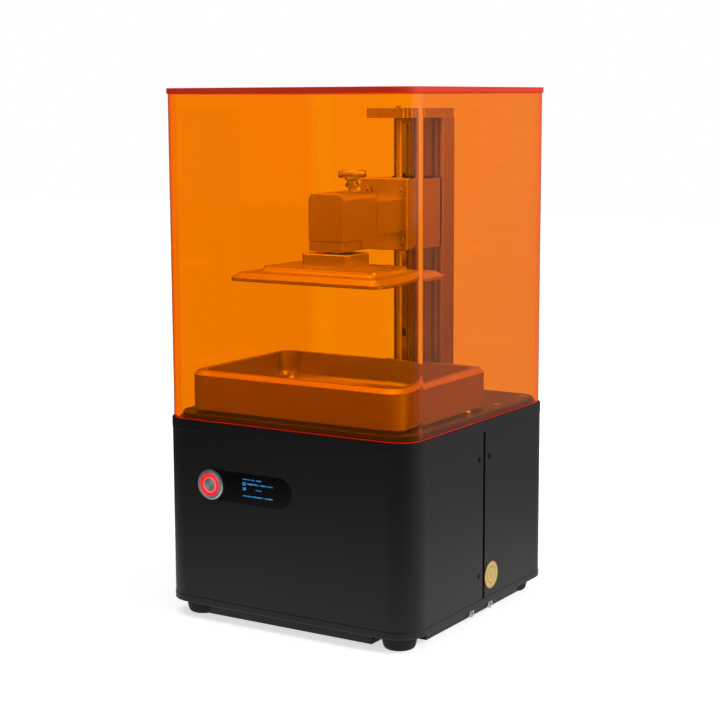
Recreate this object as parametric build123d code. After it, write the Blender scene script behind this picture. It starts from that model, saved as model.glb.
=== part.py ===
from build123d import *
import os

os.makedirs("parts", exist_ok=True)

# A desktop resin printer. Millimetres, +Z up. The origin is the centre of the base's outline,
# on the surface that the feet stand on. The front, with the button and the display, faces -Y.

# ---------------------------------------------------------------- driving dimensions
BODY_W, BODY_D, BODY_R = 210.0, 210.0, 20.5     # outline of the base and its corner radius
FOOT_H, FOOT_R_TOP, FOOT_R_LOW, FOOT_INSET = 11.5, 13.5, 10.8, 20.8
BOTTOM_T = 5.0                                  # bottom plate
SHELL_H, SHELL_T = 122.5, 2.0                   # height and wall of the two shells
SHELL_IN = 0.3                                  # how far the shells sit back from the plates' edges
SEAM_W = 3.0                                    # upright gap between front and rear shell
RIM_T, EDGE_CHAMFER = 8.0, 0.4                  # plate that the cover stands on
DECK_T, DECK_GAP, DECK_R = 4.0, 1.5, 16.0       # raised deck inside the cover, its gap to the wall
TRAY_H, TRAY_T, TRAY_IN, TRAY_NOTCH = 8.4, 1.5, 8.0, 1.2

COVER_IN, COVER_T, COVER_HEADROOM = 1.5, 4.0, 9.0   # cover wall: set-in, thickness, space over the screw
LID_T, LID_LAP, LID_R = 4.0, 1.0, 20.0          # flat lid glued on the wall, its overlap
COVER_LIFT_GAP = 0.1

LIGHT_Y = -29.4                                 # centre of screen, vat and light engine
SCREEN_W, SCREEN_D, SCREEN_T = 138.0, 76.0, 1.5
WINDOW_W, WINDOW_D = 122.0, 69.0                # lit part of the screen

VAT_W, VAT_D, VAT_R, VAT_H = 177.6, 124.0, 12.0, 28.4
VAT_RIM, VAT_CHAMFER, VAT_LIP_H, VAT_LIP_IN = 7.5, 3.0, 1.6, 8.0
VAT_IN_R, VAT_FLOOR_T, VAT_COVE = 9.0, 5.0, 7.0
POUR_R, POUR_OUT = 9.0, 1.5                     # round pour pocket in a rear corner
VAT_LEDGE_X, VAT_LEDGE_Y, FILM_OPEN_R = 15.3, 5.0, 7.0      # floor left between wall and film opening
FILM_LAP_X, FILM_LAP_Y, FILM_T, SEAT_GAP = 6.0, 3.5, 0.2, 0.05

COLUMN_W, COLUMN_D, COLUMN_GAP = 46.0, 18.5, 1.5    # aluminium extrusion behind the vat
COLUMN_H = 209.3
RAIL_W, RAIL_H, RAIL_SEAT, RAIL_PITCH = 15.0, 11.0, 1.0, 40.0
RAIL_END = 5.0                                  # rail stops short of the column's ends
RAIL_FIT = 0.3                                  # gap between rail and its steel carriage
SCREW_R, SCREW_AHEAD, SCREW_PROUD = 4.0, 23.2, 2.0  # lead screw in front of the column
TOP_T = 7.0                                     # plate that holds the lead screw's top bearing
TOP_AHEAD = 29.0                                # how far its full width reaches ahead of the column
TONGUE_W, TONGUE_AHEAD = 33.0, 19.3

SADDLE_Z, SADDLE_H, SADDLE_W, SADDLE_AHEAD = 263.0, 52.0, 44.6, 8.3
SADDLE_BACK_GAP = 2.2
BLOCK_W, BLOCK_PROUD, BLOCK_CAP, BLOCK_RISE = 32.0, 1.0, 4.0, 5.0
BRACKET_T, BRACKET_H = 10.5, 54.0
BOLT_X, BOLT_Z = 30.0, 36.6                     # screws that hold the bracket
ARM_W, ARM_H, ARM_LIFT = 30.0, 23.8, 14.7

HEAD_W, HEAD_D, HEAD_H, HEAD_R = 30.0, 45.0, 41.0, 5.0
HEAD_BACK, HEAD_Z, PULL_GAP = 1.5, 267.0, 0.3
CLAMP_H, CLAMP_D, BALL_IN = 7.1, 24.3, 12.8     # split clamp under the head that holds the ball
BALL_R, BALL_FIT, STUD_R = 8.0, 0.05, 3.6
TONGUE_LEN, TONGUE_PIN_W, TONGUE_PIN_H = 18.0, 20.0, 14.0
KNOB_R, KNOB_H, KNOB_NECK_R, KNOB_NECK_H = 10.2, 5.0, 5.4, 7.0
KNOB_STEM_R, KNOB_BACK, KNOB_RISE = 3.0, 9.5, 3.2

NECK_W, NECK_D, NECK_H, NECK_CUT, BALL_CLEAR = 41.6, 30.6, 9.6, 3.5, 1.0
PLATE_CLEAR_X, PLATE_CLEAR_Y, PLATE_H, PLATE_R = 2.8, 3.6, 9.5, 8.0     # build plate inside the film opening
PLATE_EDGE, PLATE_BEVEL, PLATE_BEVEL_H = 2.3, 5.2, 3.4
PLATE_STEP_X, PLATE_STEP_Y, PLATE_TOP_R, PLATE_COVE = 16.2, 20.4, 4.0, 3.5  # raised middle of the build plate

BUTTON_X, BUTTON_Z, BUTTON_R = -60.4, 102.2, 11.1
BUTTON_FLANGE, BUTTON_BARREL_R, BUTTON_BARREL_L = 2.2, 9.45, 27.0
RING_R, CAP_R, CAP_FIT, CAP_TRAVEL = 8.3, 5.75, 0.08, 0.8
PILL_END_X, PILL_R = 9.5, 11.2                  # right end and radius of the display window
OLED_X, OLED_Z, OLED_W, OLED_H = -18.9, 103.4, 34.5, 23.0
SEAL_Y, SEAL_Z, SEAL_R, SEAL_T = 11.6, 31.6, 10.2, 0.3

# ---------------------------------------------------------------- heights and places worked out
Z_BOTTOM = FOOT_H
Z_SHELL = Z_BOTTOM + BOTTOM_T
Z_RIM = Z_SHELL + SHELL_H
Z_COVER = Z_RIM + RIM_T
Z_DECK = Z_COVER + DECK_T
SHELL_W, SHELL_D = BODY_W - 2 * SHELL_IN, BODY_D - 2 * SHELL_IN
SHELL_X, SHELL_Y = SHELL_W / 2, SHELL_D / 2
FOOT_X, FOOT_Y = BODY_W / 2 - FOOT_INSET, BODY_D / 2 - FOOT_INSET
COVER_W, COVER_D = BODY_W - 2 * COVER_IN, BODY_D - 2 * COVER_IN
COVER_H = DECK_T + COLUMN_H + TOP_T + SCREW_PROUD + COVER_HEADROOM
ROOM_W, ROOM_D = COVER_W - 2 * COVER_T, COVER_D - 2 * COVER_T
DECK_W, DECK_D = ROOM_W - 2 * DECK_GAP, ROOM_D - 2 * DECK_GAP
COLUMN_BACK = ROOM_D / 2 - COLUMN_GAP
COLUMN_FRONT = COLUMN_BACK - COLUMN_D
COLUMN_TOP = Z_DECK + COLUMN_H
SCREW_Y = COLUMN_FRONT - SCREW_AHEAD
SADDLE_FRONT = SCREW_Y - SADDLE_AHEAD
BRACKET_FRONT = SADDLE_FRONT - BRACKET_T
BRACKET_Z = SADDLE_Z - 1.0
HEAD_FRONT = HEAD_BACK - HEAD_D
BALL_Y = HEAD_FRONT + BALL_IN
BALL_Z = HEAD_Z + CLAMP_H
NECK_Z = BALL_Z - BALL_R - BALL_CLEAR - NECK_H
PLATE_Z = NECK_Z - PLATE_H
ARM_Z = BRACKET_Z + ARM_LIFT
FILM_OPEN_W = VAT_W - 2 * (VAT_RIM + VAT_LEDGE_X)
FILM_OPEN_D = VAT_D - 2 * (VAT_RIM + VAT_LEDGE_Y)
FILM_W, FILM_D = FILM_OPEN_W + 2 * FILM_LAP_X, FILM_OPEN_D + 2 * FILM_LAP_Y
PLATE_W, PLATE_D = FILM_OPEN_W - 2 * PLATE_CLEAR_X, FILM_OPEN_D - 2 * PLATE_CLEAR_Y
PLATE_TOP_W, PLATE_TOP_D = PLATE_W - 2 * PLATE_STEP_X, PLATE_D - 2 * PLATE_STEP_Y


# ---------------------------------------------------------------- small helpers
def span(x0, x1, y0, y1, z0, z1):
    """A block between two corners."""
    middle = Pos((x0 + x1) / 2, (y0 + y1) / 2, (z0 + z1) / 2)
    return middle * Box(abs(x1 - x0), abs(y1 - y0), abs(z1 - z0))


def slab(w, d, h, z, r, x=0.0, y=0.0):
    """A plate with rounded upright corners that stands on height z."""
    return Pos(x, y, z) * extrude(RectangleRounded(w, d, r), amount=h)


def rod(r, h, x, y, z):
    """An upright round bar that stands on height z."""
    return Pos(x, y, z) * Cylinder(r, h, align=(Align.CENTER, Align.CENTER, Align.MIN))


def rod_y(r, length, x, y, z):
    """A round bar along +Y, starting at y."""
    return Pos(x, y, z) * Rot(-90, 0, 0) * Cylinder(r, length, align=(Align.CENTER, Align.CENTER, Align.MIN))


def rod_x(r, length, x, y, z, side=1):
    """A round bar that runs outwards along X, starting at x; side is +1 or -1."""
    turned = Rot(0, 90 * side, 0) * Cylinder(r, length, align=(Align.CENTER, Align.CENTER, Align.MIN))
    return Pos(x, y, z) * turned


def cap_screw(head_r, head_h, shank_r, length, key):
    """A socket head screw: head standing on z = 0, shank below, hexagon socket in the head."""
    head = rod(head_r, head_h, 0, 0, 0)
    head = fillet(head.edges().group_by(Axis.Z)[-1], head_h * 0.12)
    socket = Pos(0, 0, head_h * 0.45) * extrude(RegularPolygon(key / 2, 6), amount=head_h)
    return head + rod(shank_r, length, 0, 0, -length) - socket


def flat_screw(head_r, shank_r, length, key):
    """A countersunk screw: flat head with its top at z = 0."""
    sink = head_r - shank_r
    head = Cone(shank_r, head_r, sink, align=(Align.CENTER, Align.CENTER, Align.MAX))
    socket = Pos(0, 0, -sink * 0.7) * extrude(RegularPolygon(key / 2, 6), amount=sink)
    return head + rod(shank_r, length - sink, 0, 0, -length) - socket


def sink_hole(head_r, shank_r, length):
    """The hole that a countersunk screw of the same sizes fills."""
    sink = head_r - shank_r
    cone = Cone(shank_r, head_r, sink, align=(Align.CENTER, Align.CENTER, Align.MAX))
    return cone + rod(shank_r, length, 0, 0, -length)


def group(shapes):
    """Several loose solids kept in one node."""
    solids = [s for shape in shapes for s in shape.solids()]
    return Compound(children=solids)


def save(name, shape):
    export_step(shape, f"parts/{name}.step")


# ---------------------------------------------------------------- feet, tray and bottom plate
FOOT_SCREW_R, FOOT_WELL_R, FOOT_WELL = 1.6, 4.3, 4.5
TRAY_SCREW_Y = (-6.0, 22.6)
TRAY_SCREW_Z = Z_BOTTOM - 5.4
LUG_L = 8.0
INTAKE_R = 27.0
foot_places = [(sx * FOOT_X, sy * FOOT_Y) for sx in (-1, 1) for sy in (-1, 1)]


def make_feet():
    foot = Cone(FOOT_R_LOW, FOOT_R_TOP, FOOT_H, align=(Align.CENTER, Align.CENTER, Align.MIN))
    foot = fillet(foot.edges().group_by(Axis.Z)[0], 2.8)
    foot -= rod(FOOT_WELL_R, FOOT_WELL, 0, 0, 0) + rod(FOOT_SCREW_R, FOOT_H, 0, 0, 0)
    save("feet", group([Pos(x, y, 0) * foot for x, y in foot_places]))


def tray_outline(inset, z, h):
    """A square with its corners notched out to clear the feet, moved in by inset."""
    w, d = BODY_W - 2 * (TRAY_IN + inset), BODY_D - 2 * (TRAY_IN + inset)
    body = slab(w, d, h, z, 2.0)
    reach = FOOT_R_TOP + TRAY_NOTCH + inset
    for x, y in foot_places:
        far_x, far_y = x * 2, y * 2
        near_x = x - reach if x > 0 else x + reach
        near_y = y - reach if y > 0 else y + reach
        body -= span(near_x, far_x, near_y, far_y, z - 1, z + h + 1)
    return body


def make_tray():
    z = Z_BOTTOM - TRAY_H
    tray = tray_outline(0, z, TRAY_H) - tray_outline(TRAY_T, z + TRAY_T, TRAY_H)
    for i in range(-4, 5):
        tray -= slab(3.4, 48.0, TRAY_T * 3, z - TRAY_T, 1.6, i * 6.4, LIGHT_Y)
    wall_x = BODY_W / 2 - TRAY_IN
    for side in (-1, 1):
        for y in TRAY_SCREW_Y:
            tray -= rod_x(1.5, TRAY_T * 2, side * (wall_x - TRAY_T * 1.5), y, TRAY_SCREW_Z, side)
    save("base_tray", tray)


def make_base_screws():
    """The screws seen from below: one up each foot, and two through each side of the tray."""
    foot_screw = cap_screw(3.6, 2.4, FOOT_SCREW_R, Z_SHELL - FOOT_WELL, 3.0)
    screws = [Pos(x, y, FOOT_WELL) * Rot(180, 0, 0) * foot_screw for x, y in foot_places]
    pan = cap_screw(3.3, 1.8, 1.5, 6.5, 2.5)
    for side in (-1, 1):
        for y in TRAY_SCREW_Y:
            screws.append(Pos(side * (BODY_W / 2 - TRAY_IN), y, TRAY_SCREW_Z) * Rot(0, 90 * side, 0) * pan)
    save("base_screws", group(screws))


def make_bottom_plate():
    plate = slab(BODY_W, BODY_D, BOTTOM_T, Z_BOTTOM, BODY_R)
    plate = chamfer(plate.edges().group_by(Axis.Z)[-1] + plate.edges().group_by(Axis.Z)[0], EDGE_CHAMFER)
    inner = BODY_W / 2 - TRAY_IN - TRAY_T
    for side in (-1, 1):
        for y in TRAY_SCREW_Y:
            lug = span(side * (inner - LUG_L), side * inner, y - 5, y + 5, Z_BOTTOM - 6.6, Z_BOTTOM)
            plate += lug - rod_x(1.5, LUG_L + 1, side * (inner - LUG_L - 0.5), y, TRAY_SCREW_Z, side)
    plate -= rod(INTAKE_R, BOTTOM_T * 3, 0, LIGHT_Y, Z_BOTTOM - BOTTOM_T)
    for x, y in foot_places:
        plate -= rod(FOOT_SCREW_R, BOTTOM_T * 3, x, y, Z_BOTTOM - BOTTOM_T)
    save("bottom_plate", plate)


# ---------------------------------------------------------------- shells and what is set in them
PILLAR_W, PILLAR_T = 24.0, 4.0
SIDE_SCREW_Y = 7.6
SIDE_SCREW_Z = (Z_SHELL + 18.2, Z_RIM - 18.8)
SIDE_HEAD_R, SIDE_SHANK_R = 2.6, 1.5
PORT_Z = 52.0
INLET_X, INLET_R, INLET_BORE_R = -62.0, 6.0, 3.2
SWITCH_X, SWITCH_W, SWITCH_H, ROCKER_W, ROCKER_H = -34.0, 15.0, 21.0, 9.6, 15.2
ROCKER_TILT, ROCKER_FIT, ROCKER_SWING = 8.0, 0.4, 1.2
ROCKER_DEPTH, ROCKER_OUT, ROCKER_MID, PIVOT_R = 5.4, 6.5, 4.2, 1.4
PORT_PROUD = 2.2                                # flanges on the back stand as far out as the button in front
USB_X, USB_W, USB_H, USB_D = -4.0, 13.1, 5.7, 14.0
VENT_X, VENT_N, VENT_W, VENT_PITCH, VENT_LOW, VENT_L = 52.0, 9, 2.6, 6.2, 70.0, 44.0


def shell_ring():
    outer = slab(SHELL_W, SHELL_D, SHELL_H, Z_SHELL, BODY_R - SHELL_IN)
    inner = slab(SHELL_W - 2 * SHELL_T, SHELL_D - 2 * SHELL_T, SHELL_H, Z_SHELL, BODY_R - SHELL_IN - SHELL_T)
    ring = outer - inner
    for side in (-1, 1):
        for y in (-SIDE_SCREW_Y, SIDE_SCREW_Y):
            for z in SIDE_SCREW_Z:
                ring -= side_screw_place(side, y, z) * sink_hole(SIDE_HEAD_R, SIDE_SHANK_R, SHELL_T * 2)
    return ring


def side_screw_place(side, y, z):
    return Pos(side * SHELL_X, y, z) * Rot(0, 90 * side, 0)


def pill(r, thick, y):
    """The display window's outline, round at both ends, cut or filled along Y."""
    x_mid, length = (BUTTON_X + PILL_END_X - r) / 2, PILL_END_X - r - BUTTON_X
    bar = span(x_mid - length / 2, x_mid + length / 2, y, y + thick, BUTTON_Z - r, BUTTON_Z + r)
    return bar + rod_y(r, thick, BUTTON_X, y, BUTTON_Z) + rod_y(r, thick, PILL_END_X - r, y, BUTTON_Z)


def make_shells():
    ring = shell_ring()
    half = BODY_D
    front = ring & span(-BODY_W, BODY_W, -half, -SEAM_W / 2, Z_SHELL, Z_RIM)
    front -= pill(PILL_R, SHELL_T * 3, -SHELL_Y - SHELL_T)
    save("front_shell", front)
    rear = ring & span(-BODY_W, BODY_W, SEAM_W / 2, half, Z_SHELL, Z_RIM)
    back = SHELL_Y - SHELL_T * 2
    rear -= rod_y(INLET_R, SHELL_T * 3, INLET_X, back, PORT_Z)
    rear -= span(SWITCH_X - SWITCH_W / 2, SWITCH_X + SWITCH_W / 2, back, SHELL_Y + SHELL_T,
                 PORT_Z - SWITCH_H / 2, PORT_Z + SWITCH_H / 2)
    rear -= span(USB_X - USB_W / 2, USB_X + USB_W / 2, back, SHELL_Y + SHELL_T,
                 PORT_Z - USB_H / 2, PORT_Z + USB_H / 2)
    for i in range(VENT_N):
        x = VENT_X + (i - (VENT_N - 1) / 2) * VENT_PITCH
        rear -= span(x - VENT_W / 2, x + VENT_W / 2, back, SHELL_Y + SHELL_T, VENT_LOW, VENT_LOW + VENT_L)
    save("rear_shell", rear)


def make_pillars():
    bars, screws = [], []
    for side in (-1, 1):
        inner = SHELL_X - SHELL_T
        bar = span(side * (inner - PILLAR_T), side * inner, -PILLAR_W / 2, PILLAR_W / 2, Z_SHELL, Z_RIM)
        for y in (-SIDE_SCREW_Y, SIDE_SCREW_Y):
            for z in SIDE_SCREW_Z:
                bar -= rod_x(SIDE_SHANK_R, PILLAR_T * 2, side * (inner - PILLAR_T * 1.5), y, z, side)
                screw = flat_screw(SIDE_HEAD_R, SIDE_SHANK_R, SHELL_T + PILLAR_T, 2.0)
                screws.append(side_screw_place(side, y, z) * screw)
        bars.append(bar)
    save("side_pillars", group(bars))
    save("shell_screws", group(screws))


def make_seal():
    save("seal_disc", rod_x(SEAL_R, SEAL_T, SHELL_X, SEAL_Y, SEAL_Z))


def make_ports():
    inlet = rod_y(INLET_R + 2.0, PORT_PROUD, INLET_X, SHELL_Y, PORT_Z)
    inlet = chamfer(inlet.edges().group_by(Axis.Y)[-1], 0.6) + rod_y(INLET_R, 14.0, INLET_X, SHELL_Y - 14, PORT_Z)
    inlet -= rod_y(INLET_BORE_R, 11.0 + PORT_PROUD, INLET_X, SHELL_Y - 10, PORT_Z)
    inlet += rod_y(1.0, 10.0, INLET_X, SHELL_Y - 10, PORT_Z)
    save("power_inlet", inlet)
    sw, sh = SWITCH_W / 2, SWITCH_H / 2
    frame = span(SWITCH_X - sw - 1.5, SWITCH_X + sw + 1.5, SHELL_Y, SHELL_Y + PORT_PROUD,
                 PORT_Z - sh - 1.5, PORT_Z + sh + 1.5)
    frame = chamfer(frame.edges().group_by(Axis.Y)[-1], 0.8)
    frame += span(SWITCH_X - sw, SWITCH_X + sw, SHELL_Y - 15, SHELL_Y, PORT_Z - sh, PORT_Z + sh)
    well_w, well_h = ROCKER_W / 2 + ROCKER_FIT, ROCKER_H / 2 + ROCKER_SWING
    frame -= span(SWITCH_X - well_w, SWITCH_X + well_w, SHELL_Y - 10.5, SHELL_Y + 4, PORT_Z - well_h, PORT_Z + well_h)
    pivot_y = SHELL_Y - ROCKER_DEPTH
    frame -= rod_x(PIVOT_R + 0.08, ROCKER_W + 3.0, SWITCH_X - ROCKER_W / 2 - 1.5, pivot_y, PORT_Z)
    save("switch_frame", frame)
    half = ROCKER_H / 2
    profile = [(-3.0, -half), (ROCKER_OUT, -half), (ROCKER_MID, 0), (ROCKER_OUT, half), (-3.0, half)]
    key = extrude(Plane.YZ * make_face(Polyline(*profile, close=True)), amount=ROCKER_W / 2, both=True)
    key += rod_x(PIVOT_R, ROCKER_W + 2.6, -ROCKER_W / 2 - 1.3, 0, 0)
    save("switch_rocker", Pos(SWITCH_X, pivot_y, PORT_Z) * Rot(ROCKER_TILT, 0, 0) * key)
    shell = span(USB_X - USB_W / 2, USB_X + USB_W / 2, SHELL_Y - USB_D, SHELL_Y + 0.6,
                 PORT_Z - USB_H / 2, PORT_Z + USB_H / 2)
    shell -= span(USB_X - USB_W / 2 + 0.4, USB_X + USB_W / 2 - 0.4, SHELL_Y - USB_D + 2, SHELL_Y + 1,
                  PORT_Z - USB_H / 2 + 0.4, PORT_Z + USB_H / 2 - 0.4)
    shell += span(USB_X - 5.2, USB_X + 5.2, SHELL_Y - USB_D + 1, SHELL_Y - 2, PORT_Z + 0.2, PORT_Z + 1.8)
    save("usb_port", shell)


def make_display():
    front = -SHELL_Y
    window = pill(PILL_R - 0.05, SHELL_T - 0.1, front + 0.1)
    window -= rod_y(BUTTON_BARREL_R, SHELL_T * 2, BUTTON_X, front - 1, BUTTON_Z)
    save("display_window", window)
    glass_y = front + SHELL_T
    glass = span(OLED_X - OLED_W / 2, OLED_X + OLED_W / 2, glass_y, glass_y + 1.5,
                 OLED_Z - OLED_H / 2, OLED_Z + OLED_H / 2)
    board = span(OLED_X - 17.7, OLED_X + 17.7, glass_y + 1.5, glass_y + 3.1, OLED_Z - 16.8, OLED_Z + 16.8)
    save("display_board", glass + board)


def make_button():
    face = -SHELL_Y - BUTTON_FLANGE
    flange = rod_y(BUTTON_R, BUTTON_FLANGE, BUTTON_X, face, BUTTON_Z)
    flange = chamfer(flange.edges().group_by(Axis.Y)[0], 1.0)
    body = flange + rod_y(BUTTON_BARREL_R, BUTTON_BARREL_L, BUTTON_X, -SHELL_Y, BUTTON_Z)
    nut = extrude(RegularPolygon(13.0, 6) - Circle(BUTTON_BARREL_R), amount=3.5)
    body += Pos(BUTTON_X, -SHELL_Y + SHELL_T, BUTTON_Z) * Rot(-90, 0, 0) * nut
    body -= rod_y(RING_R, 7.0, BUTTON_X, face, BUTTON_Z)
    body -= rod_y(CAP_R + CAP_FIT, 14.0, BUTTON_X, face, BUTTON_Z)
    save("button_body", body)
    ring = rod_y(RING_R, 6.8, BUTTON_X, face + 0.2, BUTTON_Z) - rod_y(CAP_R + CAP_FIT, 9.0, BUTTON_X, face, BUTTON_Z)
    save("button_ring", ring)
    cap = rod_y(CAP_R, 12.0, BUTTON_X, face + 0.1, BUTTON_Z)
    save("button_cap", fillet(cap.edges().group_by(Axis.Y)[0], 0.3))


# ---------------------------------------------------------------- rim plate, deck and screen
HOLE_SCREW_R = SCREW_R + 2.5
DECK_SCREW_IN, DECK_SCREW_Y = 11.5, (46.0, 88.0)
DECK_SCREW_X = ROOM_W / 2 - DECK_SCREW_IN
PIN_OUT, PIN_Y, PIN_R, PIN_H = 5.2, -10.0, 2.2, 4.6
PIN_X = VAT_W / 2 + PIN_OUT


def make_rim_plate():
    plate = slab(BODY_W, BODY_D, RIM_T, Z_RIM, BODY_R)
    plate = chamfer(plate.edges().group_by(Axis.Z)[-1] + plate.edges().group_by(Axis.Z)[0], EDGE_CHAMFER)
    plate -= slab(WINDOW_W, WINDOW_D, RIM_T * 3, Z_RIM - RIM_T, 2.0, 0, LIGHT_Y)
    plate -= rod(HOLE_SCREW_R, RIM_T * 3, 0, SCREW_Y, Z_RIM - RIM_T)
    for x, y in deck_screw_places():
        plate -= rod(1.5, RIM_T * 3, x, y, Z_RIM - RIM_T)
    for side in (-1, 1):
        plate -= rod(1.5, RIM_T, side * PIN_X, PIN_Y, Z_COVER - 4)
    save("rim_plate", plate)


def deck_screw_places():
    return [(side * DECK_SCREW_X, y) for side in (-1, 1) for y in DECK_SCREW_Y]


def make_deck():
    deck = slab(DECK_W, DECK_D, DECK_T, Z_COVER, DECK_R)
    deck = fillet(deck.edges().group_by(Axis.Z)[-1], 0.6)
    deck -= slab(WINDOW_W, WINDOW_D, DECK_T * 3, Z_COVER - DECK_T, 2.0, 0, LIGHT_Y)
    deck -= slab(SCREEN_W, SCREEN_D, SCREEN_T * 2, Z_DECK - SCREEN_T, 1.0, 0, LIGHT_Y)
    deck -= rod(HOLE_SCREW_R, DECK_T * 3, 0, SCREW_Y, Z_COVER - DECK_T)
    screws = []
    for x, y in deck_screw_places():
        deck -= Pos(x, y, Z_DECK) * sink_hole(2.9, 1.5, DECK_T * 2)
        screws.append(Pos(x, y, Z_DECK) * flat_screw(2.9, 1.5, DECK_T + RIM_T, 2.0))
    pins = []
    for side in (-1, 1):
        deck -= rod(1.5, DECK_T * 3, side * PIN_X, PIN_Y, Z_COVER - DECK_T)
        pin = fillet(rod(PIN_R, PIN_H, 0, 0, 0).edges().group_by(Axis.Z)[-1], 1.2)
        pins.append(Pos(side * PIN_X, PIN_Y, Z_DECK) * (pin + rod(1.5, DECK_T + 4, 0, 0, -DECK_T - 4)))
    save("deck", deck)
    save("deck_screws", group(screws))
    save("vat_pins", group(pins))
    save("lcd_panel", slab(SCREEN_W, SCREEN_D, SCREEN_T, Z_DECK - SCREEN_T, 1.0, 0, LIGHT_Y))


# ---------------------------------------------------------------- light engine in the base
SINK_W, SINK_D, SINK_BASE, FIN_H, FIN_T, FIN_N = 96.0, 70.0, 4.0, 18.0, 1.6, 13
FAN_W, FAN_T, FAN_R, HUB_R = 60.0, 15.0, 28.0, 13.0
SINK_Z = Z_SHELL + FAN_T + 2.0 + FIN_H
LED_Z = SINK_Z + SINK_BASE
LED_T, LED_W, LED_D = 1.6, 88.0, 62.0
HOOD_T = 1.5
HOOD_Z = LED_Z + LED_T
POST_X, POST_Y, POST_R = 44.0, 31.0, 3.5


def make_light():
    fins = slab(SINK_W, SINK_D, SINK_BASE, SINK_Z, 1.0, 0, LIGHT_Y)
    for i in range(FIN_N):
        x = (i - (FIN_N - 1) / 2) * (SINK_W - 16) / (FIN_N - 1)
        fins += span(x - FIN_T / 2, x + FIN_T / 2, LIGHT_Y - SINK_D / 2 + 9, LIGHT_Y + SINK_D / 2 - 9,
                     SINK_Z - FIN_H, SINK_Z)
    save("heat_sink", fins)
    save("led_board", slab(LED_W, LED_D, LED_T, LED_Z, 1.0, 0, LIGHT_Y))
    leds = []
    for i in range(6):
        for j in range(4):
            lens = fillet(rod(3.2, 3.0, 0, 0, 0).edges().group_by(Axis.Z)[-1], 2.2)
            leds.append(Pos((i - 2.5) * 12.0, LIGHT_Y + (j - 1.5) * 12.0, HOOD_Z) * lens)
    save("led_array", group(leds))
    place = Pos(0, LIGHT_Y, HOOD_Z)
    rise = Z_RIM - HOOD_Z
    low, high = Rectangle(LED_W - 4, LED_D - 4), Pos(0, 0, rise) * Rectangle(WINDOW_W + 8, WINDOW_D + 8)
    thin = 2 * HOOD_T
    low_in = Rectangle(LED_W - 4 - thin, LED_D - 4 - thin)
    high_in = Pos(0, 0, rise) * Rectangle(WINDOW_W + 8 - thin, WINDOW_D + 8 - thin)
    save("light_hood", place * (loft([low, high]) - loft([low_in, high_in])))


def make_fan():
    frame = slab(FAN_W, FAN_W, FAN_T, Z_SHELL, 3.0, 0, LIGHT_Y) - rod(FAN_R + 0.8, FAN_T * 3, 0, LIGHT_Y, 0)
    spider = span(-FAN_R - 1.2, FAN_R + 1.2, LIGHT_Y - 1.5, LIGHT_Y + 1.5, Z_SHELL, Z_SHELL + 2)
    spider += span(-1.5, 1.5, LIGHT_Y - FAN_R - 1.2, LIGHT_Y + FAN_R + 1.2, Z_SHELL, Z_SHELL + 2)
    frame += spider + rod(HUB_R, 2.0, 0, LIGHT_Y, Z_SHELL) + rod(1.5, 10.0, 0, LIGHT_Y, Z_SHELL)
    save("fan_frame", frame)
    base = Z_SHELL + 2.6
    rotor = rod(HUB_R, 10.6, 0, 0, base)
    for i in range(7):
        blade = Pos(HUB_R - 1 + (FAN_R - HUB_R) / 2, 0, base + 5.3) * Rot(32, 0, 0) * Box(FAN_R - HUB_R, 1.4, 9.0)
        rotor += Rot(0, 0, i * 360 / 7) * blade
    rotor -= rod(1.56, 12.0, 0, 0, base - 1)
    save("fan_rotor", Pos(0, LIGHT_Y, 0) * rotor)


MOTOR_W, MOTOR_H, MOTOR_HOLES = 42.3, 40.0, 31.0
MOTOR_Z = Z_RIM - 28.0 - MOTOR_H
BOARD_W, BOARD_D, BOARD_T, BOARD_X, BOARD_Y, BOARD_Z = 62.0, 84.0, 1.6, -64.0, 52.0, Z_SHELL + 8.0


def make_spacers():
    posts = []
    for sx in (-1, 1):
        for sy in (-1, 1):
            posts.append(rod(POST_R, SINK_Z - Z_SHELL, sx * POST_X, LIGHT_Y + sy * POST_Y, Z_SHELL))
            top = MOTOR_Z + MOTOR_H
            posts.append(rod(3.0, Z_RIM - top, sx * MOTOR_HOLES / 2, SCREW_Y + sy * MOTOR_HOLES / 2, top))
            x, y = BOARD_X + sx * (BOARD_W / 2 - 4), BOARD_Y + sy * (BOARD_D / 2 - 4)
            posts.append(rod(3.0, BOARD_Z - Z_SHELL, x, y, Z_SHELL))
    save("spacer_posts", group(posts))


def make_electronics():
    board = slab(BOARD_W, BOARD_D, BOARD_T, BOARD_Z, 1.5, BOARD_X, BOARD_Y)
    top = BOARD_Z + BOARD_T
    board += span(BOARD_X - 12, BOARD_X + 6, BOARD_Y - 8, BOARD_Y + 10, top, top + 2.0)
    for i in range(4):
        board += span(BOARD_X - 26 + i * 13, BOARD_X - 17 + i * 13, BOARD_Y - 36, BOARD_Y - 30, top, top + 7)
    board += rod(5.0, 12.0, BOARD_X + 20, BOARD_Y + 24, top)
    save("mainboard", board)


def make_motor():
    body = slab(MOTOR_W, MOTOR_W, MOTOR_H, MOTOR_Z, 4.0, 0, SCREW_Y)
    body += rod(11.0, 2.0, 0, SCREW_Y, MOTOR_Z + MOTOR_H)
    body -= rod(2.56, 30.0, 0, SCREW_Y, MOTOR_Z + MOTOR_H - 20)
    save("z_motor", body)


# ---------------------------------------------------------------- column, rail and lead screw
COUPLER_R, COUPLER_H = SCREW_R + 2.2, 24.0
BEARING_R, BEARING_T = SCREW_R + 4.0, 5.0
GROOVES = ((13.0, 3.4, 6.0), (18.2, 2.6, 4.0))      # place across, width and depth of front grooves
CORE_R, CORE_X = 2.1, 15.0
FLAT_HEAD_R = 4.0


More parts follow.
